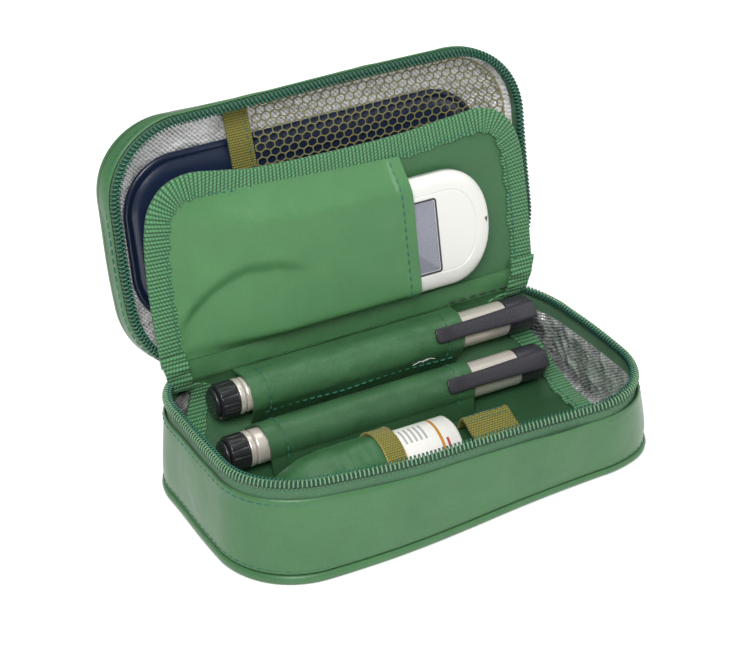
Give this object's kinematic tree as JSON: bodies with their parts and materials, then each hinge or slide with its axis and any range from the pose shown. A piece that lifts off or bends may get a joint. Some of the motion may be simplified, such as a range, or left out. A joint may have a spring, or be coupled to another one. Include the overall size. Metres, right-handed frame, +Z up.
{
  "type": "insulin cooling case",
  "caption": "Open zipped padded case: organiser with insulin pens in sleeves, blood sugar meter in a pocket, test strip bottle in a pouch, cold pack behind a net in the lid.",
  "frame": {"origin": "middle of the flat underside of the base, halfway along the rim", "axes": "+X along the case to the right, -Y towards the front of the tray, +Y towards the lid hinge, +Z up"},
  "size_m": [0.2094, 0.1471, 0.1623],
  "materials": {
    "leather": "smooth, semi-gloss",
    "leather_inside": "smooth",
    "webbing": "ribbed webbing, stitched",
    "foam": "closed-cell padding",
    "lining": "silvered woven foil",
    "zip": "coil teeth",
    "zip_tape": "woven tape",
    "zip_metal": "enamelled",
    "elastic": "woven elastic",
    "net": "knitted net",
    "gel": "soft film over gel",
    "meter_shell": "glossy",
    "meter_grey": "glossy",
    "black": "satin",
    "silver": "brushed",
    "pen_inside": "clear plastic",
    "vial": "satin",
    "label": "printed"
  },
  "bodies": {
    "base": {"base_bottom_panel": "leather", "base_side_wall": "leather", "base_foam": "foam", "base_lining": "lining", "base_zip_tape": "zip_tape", "base_zip_teeth": "zip", "hinge_strip": "leather", "organiser_lower_leaf": "leather_inside", "lower_webbing_left": "webbing", "lower_webbing_right": "webbing", "organiser_fold_strip": "leather_inside", "pen_sleeve_back": "leather", "pen_sleeve_front": "leather", "vial_pouch": "leather", "pouch_elastic_band": "elastic", "elastic_loop": "elastic", "zip_slider_left": "zip_metal", "zip_slider_right": "zip_metal"},
    "lid": {"lid_back_panel": "leather", "lid_side_wall": "leather", "lid_foam": "foam", "lid_lining": "lining", "lid_zip_tape": "zip_tape", "lid_zip_teeth": "zip", "net_pocket": "net", "net_pocket_strip": "elastic"},
    "gel_pack": {"gel_pack": "gel"},
    "upper_leaf": {"organiser_upper_leaf": "leather_inside", "upper_webbing": "webbing", "meter_pocket": "leather"},
    "meter": {"meter_rear_cover": "meter_shell", "meter_front_cover": "meter_shell", "meter_display": "meter_grey", "meter_screen_lens": "meter_grey", "meter_strip_port": "black"},
    "meter_main_key": {"meter_main_key": "meter_grey"},
    "meter_memory_key": {"meter_memory_key": "meter_grey"},
    "vial": {"vial_body": "vial", "vial_cap": "vial", "vial_label": "label"},
    "zip_pull_left": {"zip_pull_left": "zip_metal"},
    "zip_pull_right": {"zip_pull_right": "zip_metal"},
    "pen_back": {"pen_back_barrel": "silver", "pen_back_cap_sleeve": "silver", "pen_back_cap_clip": "black"},
    "pen_back_push_button": {"pen_back_push_button": "black"},
    "pen_back_dose_knob": {"pen_back_dose_knob": "black"},
    "pen_front": {"pen_front_barrel": "silver", "pen_front_cap_sleeve": "silver", "pen_front_cap_clip": "black"},
    "pen_front_push_button": {"pen_front_push_button": "black"},
    "pen_front_dose_knob": {"pen_front_dose_knob": "black"}
  },
  "joints": [
    {"name": "lid_hinge", "type": "hinge", "parent": "base", "child": "lid", "pos_m": [0, 0.0539, 0.05], "axis": [1, 0, 0], "range_deg": [0, 97.6], "deforming": ["hinge_strip"]},
    {"name": "leaf_fold", "type": "hinge", "parent": "base", "child": "upper_leaf", "pos_m": [0, 0.0491, 0.05689], "axis": [1, 0, 0], "range_deg": [0, 98], "deforming": ["organiser_fold_strip", "organiser_upper_leaf", "upper_webbing"]},
    {"name": "gel_pack_slide", "type": "slide", "parent": "lid", "child": "gel_pack", "axis": [1, 0, 0], "range_m": [0, 0.006]},
    {"name": "meter_slide", "type": "slide", "parent": "upper_leaf", "child": "meter", "axis": [1, 0, 0], "range_m": [0, 0.009]},
    {"name": "meter_main_key_press", "type": "slide", "parent": "meter", "child": "meter_main_key", "axis": [0, 0.9903, -0.1392], "range_m": [0, 0.0006], "stiffness_N_per_m": 800, "springref_m": -0.0003},
    {"name": "meter_memory_key_press", "type": "slide", "parent": "meter", "child": "meter_memory_key", "axis": [0, 0.9903, -0.1392], "range_m": [0, 0.0006], "stiffness_N_per_m": 800, "springref_m": -0.0003},
    {"name": "vial_slide", "type": "slide", "parent": "base", "child": "vial", "axis": [1, 0, 0], "range_m": [0, 0.019]},
    {"name": "pen_back_slide", "type": "slide", "parent": "base", "child": "pen_back", "axis": [1, 0, 0], "range_m": [-0.01, 0.002]},
    {"name": "pen_back_push_button_slide", "type": "slide", "parent": "pen_back", "child": "pen_back_push_button", "axis": [-1, 0, 0], "range_m": [0, 0.0125]},
    {"name": "pen_front_slide", "type": "slide", "parent": "base", "child": "pen_front", "axis": [1, 0, 0], "range_m": [-0.01, 0.0065]},
    {"name": "pen_front_push_button_slide", "type": "slide", "parent": "pen_front", "child": "pen_front_push_button", "axis": [-1, 0, 0], "range_m": [0, 0.0125]},
    {"name": "pen_back_dose_knob_turn", "type": "hinge", "parent": "pen_back_push_button", "child": "pen_back_dose_knob", "pos_m": [-0.0765, 0.038, 0.0362], "axis": [-1, 0, 0], "range_deg": [0, 720.5]},
    {"name": "pen_front_dose_knob_turn", "type": "hinge", "parent": "pen_front_push_button", "child": "pen_front_dose_knob", "pos_m": [-0.0765, 0.02, 0.0196], "axis": [-1, 0, 0], "range_deg": [0, 720.5]},
    {"name": "zip_pull_right_swing", "type": "hinge", "parent": "base", "child": "zip_pull_right", "pos_m": [0.08383, 0.05791, 0.0436], "axis": [0.8906, -0.4548, 0], "range_deg": [0, 60]},
    {"name": "zip_pull_left_swing", "type": "hinge", "parent": "base", "child": "zip_pull_left", "pos_m": [-0.08383, 0.05791, 0.0436], "axis": [0.8906, 0.4548, 0], "range_deg": [0, 60]}
  ],
  "couplings": [
    {"joint": "leaf_fold", "follows": "lid_hinge", "ratio": 1.004},
    {"joint": "pen_back_dose_knob_turn", "follows": "pen_back_push_button_slide", "rad_per_m": 1005.3},
    {"joint": "pen_front_dose_knob_turn", "follows": "pen_front_push_button_slide", "rad_per_m": 1005.3}
  ]
}
